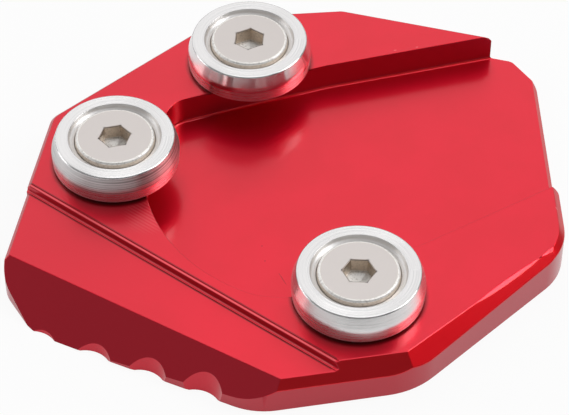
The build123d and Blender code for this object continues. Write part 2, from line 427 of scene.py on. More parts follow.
    def _mark(self, shader: Shader, mark: Mark) -> Signal:
        """Where one small mark lies.

        Args:
            shader: The material's tree.
            mark: The mark.

        Returns:
            1 in the mark, 0 elsewhere.
        """
        middle = Vector(mark.place) * MM
        x, y, z = shader.axes(shader.place(middle, -mark.turn))
        ragged = shader.noise(shader.place(middle), self.ragged)
        along = x / mark.length
        across = y / mark.width
        up = z / max(mark.width, self.mark_height)
        away = along * along + across * across + up * up
        return (away + ragged * self.raggedness).ramp(*self.mark_edge, 1.0, 0.0)

    def material(self) -> Material:
        """Build the finish.

        Returns:
            The material.
        """
        shader = Shader("red_anodised")
        place = shader.place()
        cloud = shader.noise(place, self.cloud)
        grain = shader.noise(place, self.grain)
        across, beside_step = self._step(shader)
        ripple = self._ripple(shader, across)
        layers = [
            # Darker towards the plate's left end.
            (shader.axes(place)[0].ramp(*self.left_end_reach, self.left_end_share, 0.0), self.left_end_colour),
            # Painted light and shade by which way each face looks.
            (shader.attribute(BasePlate.LIT_SLOPE), self.slope_painted_light),
            (shader.attribute(BasePlate.SHADED_WALL), self.wall_painted_shade),
            (shader.attribute(BasePlate.SHADED_POCKET), self.pocket_painted_shade),
            # Painted highlight lines and painted shade lines along the step's edges.
            (self._lines(across, self.highlight_lines) * beside_step * self.highlight_line_share, self.worn_and_highlight_dye),
            (self._lines(across, self.shade_lines) * beside_step * self.score_and_shade_share, self.scored_and_shade_dye),
            (ripple * self.ripple_share, self.worn_and_highlight_dye),
        ]
        for mark in self.marks:
            dye = self.worn_and_highlight_dye if mark.worn else self.scored_and_shade_dye
            layers.append((self._mark(shader, mark) * self.mark_share, dye))
        # Painted contact shadow round each washer's foot.
        layers.append((self._gap_shadow(shader), self.gap_painted_shadow))
        colour = shader.mix(cloud.ramp(*self.cloud_edge), self.dye, self.deep_dye)
        for share, dye in layers:
            colour = shader.mix(share, colour, dye)
        roughness = self.roughness + (grain - 0.5) * self.grain.rough + (cloud - 0.5) * self.cloud.rough
        normal = shader.bump(grain, self.grain.depth, shader.bump(ripple, self.ripple_depth))
        seal = {"Coat Weight": 1.0, "Coat Roughness": self.seal_roughness, "Coat IOR": self.seal_ior}
        return shader.metal(colour, roughness, normal, seal)


@dataclass(frozen=True)
class TurnedAluminium:
    """Bare aluminium with the rings that a lathe leaves."""

    metal: Colour = (0.90, 0.885, 0.88)
    ring_metal: Colour = (0.78, 0.77, 0.77)
    rings: Texture = Texture(7.0, 3.0, 0.65, rough=0.12, depth=0.008)
    fine: Texture = Texture(22.0, 2.0, 0.6, rough=0.08, depth=0.004)
    ring_drift: float = 0.35
    ring_edge: Span = (0.30, 0.62)
    score_metal: Colour = (0.30, 0.285, 0.28)
    scores: Texture = Texture(11.0, 1.0, 0.5)
    score_drift: float = 0.15
    score_level: float = 3.0
    score_edge: Span = (0.43, 0.62)
    score_and_shade_share: float = 0.8
    scored_from: Span = (0.27, 0.31)
    scored_to: Span = (0.36, 0.42)
    cut_from: Span = (0.10, 0.22)
    least_cut: float = 0.15
    grooving: float = 0.85
    groove_turn: float = 0.25

    def material(self) -> Material:
        """Build the finish.

        Returns:
            The material.
        """
        shader = Shader("turned_aluminium")
        run = shader.attribute(TurningTree.RUN)
        angle = shader.attribute(TurningTree.ANGLE)
        rough = shader.attribute(TurningTree.ROUGH)
        along = shader.vector(run, angle * self.ring_drift, 0.0)
        rings = shader.noise(along, self.rings)
        fine = shader.noise(along, self.fine)
        scores = shader.noise(shader.vector(run, angle * self.score_drift, self.score_level), self.scores)
        scored_run = rough.ramp(*self.scored_from) - rough.ramp(*self.scored_to)
        scored = scores.ramp(*self.score_edge) * scored_run * self.score_and_shade_share
        colour = shader.mix(rings.ramp(*self.ring_edge), self.ring_metal, self.metal)
        colour = shader.mix(scored, colour, self.score_metal)
        roughness = rough + (rings - 0.5) * self.rings.rough + (fine - 0.5) * self.fine.rough
        cut = rough.ramp(*self.cut_from, self.least_cut, 1.0)
        normal = shader.bump(fine * cut, self.fine.depth, shader.bump(rings * cut, self.rings.depth))
        grooves = {"Anisotropic": self.grooving, "Anisotropic Rotation": self.groove_turn}
        return shader.metal(colour, roughness, normal, grooves)


@dataclass(frozen=True)
class ScrewSteel:
    """Plain stainless steel, whose roughness tells the face, the socket and its floor apart, and whose colour
    carries painted light and shade in the same zones.
    """

    steel: Colour = (0.70, 0.65, 0.625)
    # Painted light: the socket's walls and the head's side are coloured lighter, and the socket's floor and
    # the head's rounded rim near white. The dark colour paints both real streaks in the socket and a painted
    # shade line at the socket's top edge.
    socket_painted_light: Colour = (0.78, 0.68, 0.58)
    floor_painted_light: Colour = (0.97, 0.95, 0.92)
    streak_and_edge_shade: Colour = (0.22, 0.17, 0.13)
    edge_rough: float = 0.30
    face_rough: float = 0.36
    socket_rough: float = 0.42
    floor_rough: float = 0.52
    floor_margin: float = 0.02
    edge_share: float = 0.7
    streaks: Texture = Texture(3.0, 2.0, 0.6)
    streak_edge: Span = (0.45, 0.75)
    streak_share: float = 0.35
    grain: Texture = Texture(14.0, 3.0, 0.6, rough=0.14, depth=0.002)

    def material(self) -> Material:
        """Build the finish.

        Returns:
            The material.
        """
        shader = Shader("screw_steel")
        place = shader.place()
        grain = shader.noise(place, self.grain)
        streaks = shader.noise(place, self.streaks)
        rough = shader.attribute(TurningTree.ROUGH)
        # Masks of the socket's painted light and the floor's near-white painted light.
        socket = rough.ramp(self.face_rough, self.socket_rough)
        floor = rough.ramp(self.socket_rough + self.floor_margin, self.floor_rough - self.floor_margin)
        # Painted shade line along the socket's top edge, where the roughness is the edge roughness.
        edge = rough.ramp(self.edge_rough, self.face_rough, self.edge_share, 0.0)
        colour = shader.mix(socket, self.steel, self.socket_painted_light)
        colour = shader.mix(floor, colour, self.floor_painted_light)
        for share in (streaks.ramp(*self.streak_edge) * socket * self.streak_share, edge):
            colour = shader.mix(share, colour, self.streak_and_edge_shade)
        roughness = rough + (grain - 0.5) * self.grain.rough
        return shader.metal(colour, roughness, shader.bump(grain, self.grain.depth))


@dataclass(frozen=True)
class Corner:
    """One corner of a turned piece's section, in millimetres.

    Args:
        radius: Distance from the axis, or half the size across flats.
        height: Height above the ground.
        rounding: Radius that breaks the corner.
        hexagonal: 1 where the section follows a hexagon, 0 where it is round.
        spacing: Step between points on the run up to the next corner.
        groove: Share of the groove depth on that run.
        rough: Roughness of that run.
    """

    radius: float
    height: float
    rounding: float = 0.0
    hexagonal: float = 0.0
    spacing: float = 0.4
    groove: float = 0.0
    rough: float = 0.3


class Section:
    """The line that a turned piece is spun from."""

    ARC_STEPS = 4

    def __init__(self, corners: Sequence[Corner], closed: bool) -> None:
        """Round the corners and space points along the runs.

        Args:
            corners: The section's corners, in order, with the metal on the left of the line.
            closed: Whether the last corner joins the first.
        """
        self.corners = list(corners)
        self.closed = closed
        self.points: list[tuple[Vector, Corner]] = []
        self._lay_points()

    def _cut(self, number: int) -> tuple[Vector, Vector, Vector]:
        """Find a corner's rounding.

        Args:
            number: The corner's place in the section.

        Returns:
            Where the rounding starts, the corner's own place and where the rounding ends.
        """
        count = len(self.corners)
        here = self.corners[number]
        place = Vector((here.radius, here.height))
        at_end = not self.closed and number in (0, count - 1)
        if here.rounding == 0 or at_end:
            return place, place, place
        before = self.corners[number - 1]
        after = self.corners[(number + 1) % count]
        back = (Vector((before.radius, before.height)) - place).normalized()
        ahead = (Vector((after.radius, after.height)) - place).normalized()
        half = back.angle(ahead) / 2
        length = here.rounding / math.tan(half)
        return place + back * length, place, place + ahead * length

    def _lay_points(self) -> None:
        """Lay the points of every rounded corner and of the run after it."""
        count = len(self.corners)
        cuts = [self._cut(number) for number in range(count)]
        for number, (start, place, end) in enumerate(cuts):
            corner = self.corners[number]
            if (start - end).length > 0:
                for step in range(self.ARC_STEPS):
                    share = step / self.ARC_STEPS
                    bend = start.lerp(place, share).lerp(place.lerp(end, share), share)
                    self.points.append((bend, corner))
            last = number == count - 1
            if last and not self.closed:
                self.points.append((end, corner))
                break
            target = cuts[(number + 1) % count][0]
            steps = max(1, round((target - end).length / corner.spacing))
            for step in range(steps):
                self.points.append((end.lerp(target, step / steps), corner))
        if self.closed:
            self.points.append(self.points[0])

    def source(self, name: str) -> Object:
        """Make the chain of points that a turning tree spins.

        Args:
            name: Name of the chain's object.

        Returns:
            An object that is not in the scene.
        """
        places = [(point.x * MM, 0.0, point.y * MM) for point, _ in self.points]
        edges = [(number, number + 1) for number in range(len(places) - 1)]
        mesh = bpy.data.meshes.new(name)
        mesh.from_pydata(places, edges, [])
        runs = [0.0]
        for (first, _), (second, _) in zip(self.points, self.points[1:]):
            runs.append(runs[-1] + (second - first).length)
        numbers = {
            TurningTree.HEXAGON: [corner.hexagonal for _, corner in self.points],
            TurningTree.GROOVE: [corner.groove for _, corner in self.points],
            TurningTree.ROUGH: [corner.rough for _, corner in self.points],
            TurningTree.RUN: runs,
        }
        for label, values in numbers.items():
            mesh.attributes.new(label, "FLOAT", "POINT").data.foreach_set("value", values)
        outward = mesh.attributes.new(TurningTree.OUTWARD, "FLOAT_VECTOR", "POINT")
        for number, value in enumerate(self._normals()):
            outward.data[number].vector = (value.x, 0.0, value.y)
        return bpy.data.objects.new(name, mesh)

    def _normals(self) -> list[Vector]:
        """Find the direction out of the metal at each point.

        Returns:
            The directions, in the order of the points.
        """
        normals = []
        last = len(self.points) - 1
        for number in range(last + 1):
            before = self.points[max(number - 1, 0)][0]
            after = self.points[min(number + 1, last)][0]
            along = (after - before).normalized()
            normals.append(Vector((along.y, -along.x)))
        return normals


def add_object(name: str, data: Any) -> Object:
    """Put a new object in the scene.

    Args:
        name: The object's name.
        data: Its mesh, lamp or camera.

    Returns:
        The object.
    """
    item = bpy.data.objects.new(name, data)
    bpy.context.scene.collection.objects.link(item)
    return item


def settle(piece: Object) -> None:
    """Turn a piece with modifiers into a plain mesh.

    Args:
        piece: Object whose modifiers are applied and removed.
    """
    graph = bpy.context.evaluated_depsgraph_get()
    mesh = bpy.data.meshes.new_from_object(piece.evaluated_get(graph))
    mesh.name = piece.name
    piece.modifiers.clear()
    piece.data = mesh


def dress(piece: Object, node: str) -> None:
    """Put a finished piece in a node's place.

    Args:
        piece: The piece.
        node: The node that it stands for.
    """
    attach(piece, BODY)
    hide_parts(node)
    LOG.info("%s: %d faces, in place of %s", piece.name, len(piece.data.polygons), node)


class TurningTree(Nodes):
    """Geometry Nodes that spin a section about each place's axis."""

    RUN = "run_mm"
    ANGLE = "angle_turns"
    HEXAGON = "hexagon"
    GROOVE = "groove"
    ROUGH = "rough"
    OUTWARD = "outward"
    TURN = "turn"
    MERGE_MM = 0.0005
    SHARP_ANGLE = 30.0
    GROOVE_DETAIL = 2.0
    INPUTS = {
        "Geometry": "NodeSocketGeometry",
        "Section": "NodeSocketObject",
        "Segments": "NodeSocketInt",
        "Groove Depth": "NodeSocketFloat",
        "Groove Pitch": "NodeSocketFloat",
        "Seed": "NodeSocketFloat",
        "Finish": "NodeSocketMaterial",
    }

    def __init__(self, name: str) -> None:
        """Build the tree.

        Args:
            name: The tree's name.
        """
        super().__init__(bpy.data.node_groups.new(name, "GeometryNodeTree"))
        self.inputs: dict[str, str] = {}
        for label, kind in self.INPUTS.items():
            socket = self.tree.interface.new_socket(label, in_out="INPUT", socket_type=kind)
            self.inputs[label] = socket.identifier
        self.tree.interface.new_socket("Geometry", in_out="OUTPUT", socket_type="NodeSocketGeometry")
        self.given = self.node("NodeGroupInput")
        self._build()

    def _given(self, name: str) -> Signal:
        """One of the tree's inputs."""
        return Signal(self, self.given.outputs[name])

    def _named(self, name: str, kind: str = "FLOAT") -> Signal:
        """A value that the geometry carries under a name."""
        return self.signal("GeometryNodeInputNamedAttribute", {"data_type": kind}, {"Name": name})

    def _sampled(self, section: Signal, index: Signal, value: Signal, kind: str = "FLOAT") -> Signal:
        """A value at one of the section's points."""
        sockets = {"Geometry": section, "Value": value, "Index": index}
        return self.signal("GeometryNodeSampleIndex", {"data_type": kind, "domain": "POINT"}, sockets)

    def _build(self) -> None:
        """Lay a grid of section points by segments, spin it, and set one on each place."""
        section = self.signal("GeometryNodeObjectInfo", None, {"Object": self._given("Section")}, "Geometry")
        counted = {"component": "MESH"}
        points = self.signal("GeometryNodeAttributeDomainSize", counted, {0: section}, "Point Count")
        size = {"Size X": 1.0, "Size Y": 1.0, "Vertices X": self._given("Segments") + 1, "Vertices Y": points}
        mesh = self.signal("GeometryNodeMeshGrid", None, size, "Mesh")
        column, row, _ = self.axes(self.signal("GeometryNodeInputPosition"))
        angle = column + 0.5
        index = ((row + 0.5) * (points - 1)).of("ROUND")
        run = self._sampled(section, index, self._named(self.RUN))
        rough = self._sampled(section, index, self._named(self.ROUGH))
        hexagon = self._sampled(section, index, self._named(self.HEXAGON))
        for name, value in ((self.RUN, run), (self.ANGLE, angle), (self.ROUGH, rough)):
            settings = {"data_type": "FLOAT", "domain": "POINT"}
            stored = {"Geometry": mesh, "Name": name, "Value": value}
            mesh = self.signal("GeometryNodeStoreNamedAttribute", settings, stored, "Geometry")
        spun = self._spun(self._grooved(section, index, run), angle, hexagon)
        mesh = self.signal("GeometryNodeSetPosition", None, {"Geometry": mesh, "Position": spun})
        self.node("NodeGroupOutput", None, {"Geometry": self._placed(self._edged(mesh))})

    def _grooved(self, section: Signal, index: Signal, run: Signal) -> Signal:
        """Cut tool grooves along the section's runs.

        Args:
            section: The section.
            index: Which of its points to give.
            run: Length of the section up to that point.

        Returns:
            The point's place.
        """
        place = self._sampled(section, index, self.signal("GeometryNodeInputPosition"), "FLOAT_VECTOR")
        outward = self._sampled(section, index, self._named(self.OUTWARD, "FLOAT_VECTOR"), "FLOAT_VECTOR")
        share = self._sampled(section, index, self._named(self.GROOVE))
        along = run / self._given("Groove Pitch") + self._given("Seed")
        sockets = {"W": along, "Scale": 1.0, "Detail": self.GROOVE_DETAIL}
        noise = self.signal("ShaderNodeTexNoise", {"noise_dimensions": "1D"}, sockets, "Fac")
        depth = (noise - 0.5) * share * self._given("Groove Depth")
        shift = self.signal("ShaderNodeVectorMath", {"operation": "SCALE"}, {0: outward, "Scale": depth})
        return self.signal("ShaderNodeVectorMath", {"operation": "ADD"}, {0: place, 1: shift})

    def _spun(self, place: Signal, angle: Signal, hexagon: Signal) -> Signal:
        """Turn the section's points about the axis.

        Args:
            place: A point of the section.
            angle: How far it goes round, in turns.
            hexagon: 1 where it follows a hexagon, 0 where it follows a circle.

        Returns:
            The point's place on the piece.
        """
        reach, _, height = self.axes(place)
        radians = angle * TURN
        sixth = TURN / 6
        inside = radians.of("FLOORED_MODULO", sixth) - sixth / 2
        flat = 1.0 / inside.of("COSINE")
        reach = reach * (1.0 + hexagon * (flat - 1.0))
        return self.vector(reach * radians.of("COSINE"), reach * radians.of("SINE"), height)

    def _edged(self, mesh: Signal) -> Signal:
        """Close the seam and the poles, and shade all but the sharp edges smooth.

        Args:
            mesh: The spun mesh.

        Returns:
            The closed mesh.
        """
        merge = {"Geometry": mesh, "Distance": self.MERGE_MM * MM}
        mesh = self.signal("GeometryNodeMergeByDistance", None, merge)
        mesh = self.signal("GeometryNodeSetShadeSmooth", None, {"Geometry": mesh, "Shade Smooth": True})
        bend = self.signal("GeometryNodeInputMeshEdgeAngle", output="Unsigned Angle")
        sharp = bend.of("GREATER_THAN", math.radians(self.SHARP_ANGLE))
        edged = {"Geometry": mesh, "Selection": sharp, "Shade Smooth": False}
        return self.signal("GeometryNodeSetShadeSmooth", {"domain": "EDGE"}, edged)

    def _placed(self, mesh: Signal) -> Signal:
        """Set a copy on each place, turned as the place says.

        Args:
            mesh: The mesh to copy.

        Returns:
            The copies, as plain geometry with their finish.
        """
        spin = self.vector(0.0, 0.0, self._named(self.TURN))
        placing = {"Points": self._given("Geometry"), "Instance": mesh, "Rotation": spin}
        pieces = self.signal("GeometryNodeInstanceOnPoints", None, placing)
        pieces = self.signal("GeometryNodeRealizeInstances", None, {"Geometry": pieces})
        dressed = {"Geometry": pieces, "Material": self._given("Finish")}
        return self.signal("GeometryNodeSetMaterial", None, dressed)

    def spin(
        self,
        name: str,
        section: Section,
        places: Sequence[tuple[Vector, float]],
        sizes: Mapping[str, Any],
        finish: Material,
    ) -> Object:
        """Make a plain piece with one spun copy at each place.

        Args:
            name: The piece's name.
            section: The line to spin.
            places: Each copy's axis, in metres, and its turn, in degrees.
            sizes: Values of the tree's inputs.
            finish: Material of the piece.

        Returns:
            The finished piece, in the scene.
        """
        mesh = bpy.data.meshes.new(f"{name}_places")
        mesh.from_pydata([tuple(axis) for axis, _ in places], [], [])
        turns = mesh.attributes.new(self.TURN, "FLOAT", "POINT")
        turns.data.foreach_set("value", [math.radians(turn) for _, turn in places])
        piece = add_object(name, mesh)
        chain = section.source(f"{name}_section")
        modifier = piece.modifiers.new("turning", "NODES")
        modifier.node_group = self.tree
        values = {**sizes, "Section": chain, "Finish": finish}
        for key, value in values.items():
            modifier[self.inputs[key]] = value
        settle(piece)
        bpy.data.objects.remove(chain)
        return piece


@dataclass(frozen=True)
class Turning:
    """How one washer was turned.

    Args:
        station: Where the washer lies.
        seed: Where its pattern of tool grooves starts.
        groove_depth: Depth of the grooves, in millimetres.
        polish: Share of the cone's roughness that is left.
    """

    station: Station
    seed: float
    groove_depth: float
    polish: float


@dataclass
class ClampWashers:
    """Three countersunk washers, turned from bar, in millimetres."""

    top_diameter: float = 17.3
    waist_diameter: float = 18.74
    waist_drop: float = 2.15
    band_diameter: float = 18.5
    edge_break: float = 0.5
    countersink_diameter: float = 13.6
    mouth_draft: float = 0.26
    mouth_depth: float = 0.50
    mouth_rounding: float = 0.2
    seat_diameter: float = 11.8
    seat_gap: float = 0.07
    seat_drop: float = 0.45
    bore_diameter: float = 6.4
    rounding: float = 0.07
    top_rounding: float = 0.30
    waist_rounding: float = 2.4
    band_rough: float = 0.27
    cone_rough: float = 0.25
    ring_rough: float = 0.22
    mouth_rough: float = 0.40
    sink_rough: float = 0.46
    groove_pitch: float = 0.16
    light_groove: float = 0.5
    fine_spacing: float = 0.06
    seat_spacing: float = 0.1
    hidden_spacing: float = 0.3
    segments: int = 180
    turnings: tuple[Turning, ...] = (
        Turning(Station.LEFT, 3.0, 0.030, 1.24),
        Turning(Station.BACK, 21.0, 0.003, 0.60),
        Turning(Station.FRONT, 40.0, 0.012, 1.0),
    )
    finish: TurnedAluminium = TurnedAluminium()

    def section(self, low: float, high: float, polish: float) -> Section:
        """The washer's section.

        Args:
            low: Height of the washer's underside.
            high: Height of its top.
            polish: Share of the cone's roughness that is left.

        Returns:
            A closed section.
        """
        bore = self.bore_diameter / 2
        band = self.band_diameter / 2
        sink = self.countersink_diameter / 2
        waist = self.waist_diameter / 2
        seat = self.seat_diameter / 2
        mouth = sink - self.mouth_draft
        slot = seat + self.seat_gap
        cone_rough = self.cone_rough * polish
        seat_level = high - (sink - seat)
        slot_floor = seat_level - self.seat_drop
        full = {"spacing": self.fine_spacing, "groove": 1.0}
        light = {"spacing": self.fine_spacing, "groove": self.light_groove}
        corners = [
            Corner(bore, low),
            Corner(band - self.edge_break, low, self.rounding, spacing=self.fine_spacing),
            Corner(band, low + self.edge_break, self.rounding, rough=self.band_rough, **light),
            Corner(waist, high - self.waist_drop, self.waist_rounding, rough=cone_rough, **full),
            Corner(self.top_diameter / 2, high, self.top_rounding, rough=self.ring_rough, **full),
            Corner(sink, high, self.rounding, rough=self.mouth_rough, **light),
            Corner(mouth, high - self.mouth_depth, self.mouth_rounding, rough=self.sink_rough, **light),
            Corner(slot, seat_level + self.seat_gap, spacing=self.seat_spacing, rough=self.sink_rough),
            Corner(slot, slot_floor, spacing=self.seat_spacing),
            Corner(seat - self.seat_drop, slot_floor, spacing=self.hidden_spacing),
            Corner(bore, high - (sink - bore), spacing=self.hidden_spacing),
        ]
        return Section(corners, closed=True)

    def build(self, tree: TurningTree) -> None:
        """Spin the washers and put them in place of their nodes.

        Args:
            tree: The turning tree.
        """
        finish = self.finish.material()
        for turning in self.turnings:
            station = turning.station
            low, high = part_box(station.washer_node)
            sizes = {
                "Segments": self.segments,
                "Groove Depth": turning.groove_depth * MM,
                "Groove Pitch": self.groove_pitch,
                "Seed": turning.seed,
            }
            section = self.section(low.z / MM, high.z / MM, turning.polish)
            piece = tree.spin(f"washer_{station.value}", section, [(station.axis, 0.0)], sizes, finish)
            dress(piece, station.washer_node)


@dataclass
class ClampScrews:
    """Three flat-head screws with a hexagon socket, in millimetres.

    The sockets' turns are in degrees, in the stations' order.
    """

    head_diameter: float = 11.8
    face_diameter: float = 11.3
    rim_drop: float = 0.9
    thread_diameter: float = 5.4
    tip_chamfer: float = 0.6
    across_flats: float = 4.0
    socket_depth: float = 2.2
    socket_edge: float = 0.12
    edge_ahead: float = 1.5
    edge_below: float = 1.3
    socket_cone: float = 0.50
    socket_foot: float = 0.25
    foot_rise: float = 0.06
    foot_rounding: float = 0.03
    collar: float = 2.75
    rounding: float = 0.08
    face_rounding: float = 0.34
    fine_spacing: float = 0.05
    rim_spacing: float = 0.08
    floor_spacing: float = 0.2
    wide_spacing: float = 0.25
    segments: int = 144
    turns: tuple[float, float, float] = (11.0, 24.0, -5.0)
    finish: ScrewSteel = ScrewSteel()

    def _outside(self, tip: float, top: float) -> list[Corner]:
        """The screw's tip, thread and head.

        Args:
            tip: Height of the screw's tip.
            top: Height of its head.

        Returns:
            The corners from the middle of the tip to the collar round the socket.
        """
        thread = self.thread_diameter / 2
        head = self.head_diameter / 2
        face = self.face_diameter / 2
        rim = top - self.rim_drop
        satin = self.finish.face_rough
        return [
            Corner(0.0, tip, rough=satin),
            Corner(thread - self.tip_chamfer, tip, self.rounding, rough=satin),
            Corner(thread, tip + self.tip_chamfer, self.rounding, rough=satin),
            Corner(thread, rim - (head - thread), self.rounding, rough=satin),
            # The head's side takes the socket's roughness, and so its painted light. The rounded rim takes
            # the floor's roughness, and so its near-white painted highlight.
            Corner(head, rim, self.rounding, spacing=self.rim_spacing, rough=self.finish.socket_rough),
            Corner(face, top, self.face_rounding, spacing=self.fine_spacing, rough=self.finish.floor_rough),
            Corner(face - self.face_rounding, top, spacing=self.wide_spacing, rough=satin),
            Corner(self.collar, top, spacing=self.floor_spacing, rough=satin),
        ]

    def _socket(self, top: float) -> list[Corner]:
        """The screw's hexagon socket.

        Args:
            top: Height of the screw's head.

        Returns:
            The corners from the socket's edge to the middle of its floor.
        """
        flat = self.across_flats / 2
        floor = top - self.socket_depth
        ahead = flat + self.socket_edge * self.edge_ahead
        below = top - self.socket_edge * self.edge_below
        edge = {"hexagonal": 1.0, "spacing": self.fine_spacing}
        wall = {"hexagonal": 1.0, "rough": self.finish.socket_rough}
        foot = {"hexagonal": 1.0, "rough": self.finish.floor_rough}
        return [
            Corner(ahead, top, rough=self.finish.face_rough, **edge),
            # The socket's top edge takes the edge roughness, which paints a shade line there.
            Corner(flat, top, self.socket_edge, rough=self.finish.edge_rough, **edge),
            Corner(flat, below, spacing=self.wide_spacing, **wall),
            Corner(flat, floor + self.foot_rise, spacing=self.foot_rounding, **wall),
            Corner(flat, floor, self.foot_rounding, spacing=self.foot_rise, **foot),
            Corner(flat - self.socket_foot, floor, spacing=self.floor_spacing, **foot),
            Corner(0.0, floor - self.socket_cone, rough=self.finish.floor_rough),
        ]

    def build(self, tree: TurningTree) -> None:
        """Spin the screws, as one piece, and put them in place of their node.

        Args:
            tree: The turning tree.
        """
        low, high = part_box("clamp_screws")
        top = high.z / MM
        section = Section(self._outside(low.z / MM, top) + self._socket(top), closed=False)
        places = [(station.axis, turn) for station, turn in zip(Station, self.turns)]
        sizes = {"Segments": self.segments, "Groove Depth": 0.0, "Groove Pitch": 1.0, "Seed": 0.0}
        piece = tree.spin("screws", section, places, sizes, self.finish.material())
        dress(piece, "clamp_screws")


@dataclass
class BasePlate:
    """The milled plate, with its sharp edges rounded by a hair where they lie wholly above the lowest edge
    height, in millimetres and degrees.
    """

    # Names of the corner attributes that carry the painted light and shade by which way each face looks.
    LIT_SLOPE = "slope"
    SHADED_WALL = "wall"
    SHADED_POCKET = "pocket"
    FAR_M = 1.0
    LEAST_SPAN = 1e-18

    node: str = "base_plate"
    # How faces are sorted for the painted light and shade, and the painted shade's share on slopes and
    # flutes.
    steepest_level: float = 0.3
    steepest_rim: float = 0.86
    left_start: float = -0.02
    left_span: float = 0.26
    slope_share: float = 0.10
    shelf_slope_share: float = 0.50
    flute_share: float = 0.55
    flute_lean: float = 0.08
    weld: float = 0.0001
    edge_radius: float = 0.12
    edge_share: float = 0.3
    stray_share: float = 0.25
    sharp_angle: float = 16.0
    flat_angle: float = 0.4
    lowest_edge: float = 3.4
    tiny_join: float = 0.06
    segments: int = 3
    normal_weight: int = 100
    finish: RedAnodised = RedAnodised()

    def build(self) -> None:
        """Copy the plate's solid, round its edges and put it in the node's place."""
        piece = add_object("plate", self._joined_copy())
        rounding = piece.modifiers.new("edges", "BEVEL")
        rounding.limit_method = "WEIGHT"
        rounding.offset_type = "OFFSET"
        rounding.width = self.edge_radius * MM
        rounding.segments = self.segments
        rounding.use_clamp_overlap = False
        rounding.miter_outer = "MITER_SHARP"
        weighting = piece.modifiers.new("normals", "WEIGHTED_NORMAL")
        weighting.mode = "FACE_AREA"
        weighting.weight = self.normal_weight
        weighting.keep_sharp = True
        settle(piece)
        self._hold_to_solid(piece.data)
        self._mark_painted_shading(piece.data)
        piece.data.materials.clear()
        piece.data.materials.append(self.finish.material())
        dress(piece, self.node)

    def _joined_copy(self) -> Mesh:
        """Join the solid's triangles into its real faces, and weight its sharp edges.

        Returns:
            The joined mesh.
        """
        shape = bmesh.new()
        shape.from_mesh(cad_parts[self.node].data)
        bmesh.ops.remove_doubles(shape, verts=shape.verts, dist=self.weld * MM)
        flat = math.radians(self.flat_angle)
        bmesh.ops.dissolve_limit(shape, angle_limit=flat, verts=shape.verts, edges=shape.edges)
        weights = shape.edges.layers.float.new("bevel_weight_edge")
        sharp = {edge for edge in shape.edges if edge.calc_face_angle(0.0) > math.radians(self.sharp_angle)}
        for edge in sharp:
            if min(vertex.co.z for vertex in edge.verts) < self.lowest_edge * MM:
                edge.smooth = False
                continue
            room = self._room(edge, sharp)
            join = self._shortest_join(edge, sharp)
            if join < self.tiny_join * MM:
                room = join
            edge[weights] = min(1.0, room * self.edge_share / (self.edge_radius * MM))
        for face in shape.faces:
            face.smooth = True
        mesh = bpy.data.meshes.new("plate")
        shape.to_mesh(mesh)
        shape.free()
        return mesh

    def _hold_to_solid(self, mesh: Mesh) -> None:
        """Put back the few points that the rounding threw off the solid at pointed corners.

        Args:
            mesh: The rounded mesh.
        """
        solid = bmesh.new()
        solid.from_mesh(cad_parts[self.node].data)
        surface = BVHTree.FromBMesh(solid)
        for vertex in mesh.vertices:
            nearest, _, _, distance = surface.find_nearest(vertex.co)
            if distance > self.edge_radius * MM * self.stray_share:
                vertex.co = nearest
        solid.free()

    def _mark_painted_shading(self, mesh: Mesh) -> None:
        """Mark the slopes, outer walls, flutes and pocket walls for painted light and shade by which way they
        face: slopes facing right are painted lighter, and left-facing slopes, outer walls, flutes and pocket
        walls are painted darker.

        Args:
            mesh: The rounded mesh.
        """
        shares = {name: [0.0] * len(mesh.loops) for name in (self.LIT_SLOPE, self.SHADED_WALL, self.SHADED_POCKET)}
        for face in mesh.polygons:
            if abs(face.normal.z) > self.steepest_rim:
                continue
            outward = face.normal.dot(face.center) > 0
            wall = 1.0 if outward else 0.0
            sloping = abs(face.normal.z) > self.steepest_level
            to_left = min(max((self.left_start - face.normal.x) / self.left_span, 0.0), 1.0)
            if sloping:
                wall = self.slope_share + (self.shelf_slope_share - self.slope_share) * to_left
            elif outward and abs(face.normal.z) > self.flute_lean:
                wall = self.flute_share
            for loop in face.loop_indices:
                shares[self.LIT_SLOPE][loop] = 1.0 - to_left if sloping else 0.0
                shares[self.SHADED_WALL][loop] = wall
                shares[self.SHADED_POCKET][loop] = 0.0 if wall else 1.0
        for name, values in shares.items():
            mesh.attributes.new(name, "FLOAT", "CORNER").data.foreach_set("value", values)

    @staticmethod
    def _shortest_join(edge: BMEdge, sharp: set[BMEdge]) -> float:
        """Length of the shortest smooth edge that meets a sharp edge's ends, in metres."""
        meeting = [other for vertex in edge.verts for other in vertex.link_edges if other not in sharp]
        return min((other.calc_length() for other in meeting), default=BasePlate.FAR_M)

    @staticmethod
    def _room(edge: BMEdge, sharp: set[BMEdge]) -> float:
        """How far the nearest other sharp edge lies across the edge's two faces.

        Args:
            edge: A sharp edge.
            sharp: All sharp edges.

        Returns:
            The distance, in metres.
        """
        first, last = (vertex.co for vertex in edge.verts)
        along = (last - first).normalized()
        middle = (first + last) / 2
        room = BasePlate.FAR_M
        for face in edge.link_faces:
            for other in face.edges:
                if other is edge or other not in sharp:
                    continue
                start, end = (vertex.co for vertex in other.verts)
                span = end - start
                share = (middle - start).dot(span) / max(span.length_squared, BasePlate.LEAST_SPAN)
                away = start + span * min(max(share, 0.0), 1.0) - middle
                ahead = abs(away.dot(along))
                across = (away - along * away.dot(along)).length
                if across > ahead:
                    room = min(room, across)
        return room


def aimed(place: Vector, target: Vector) -> Matrix:
    """Where a lamp or a camera stands, turned from its place to its target."""
    turn = (target - place).to_track_quat("-Z", "Y").to_matrix().to_4x4()
    return Matrix.Translation(place) @ turn


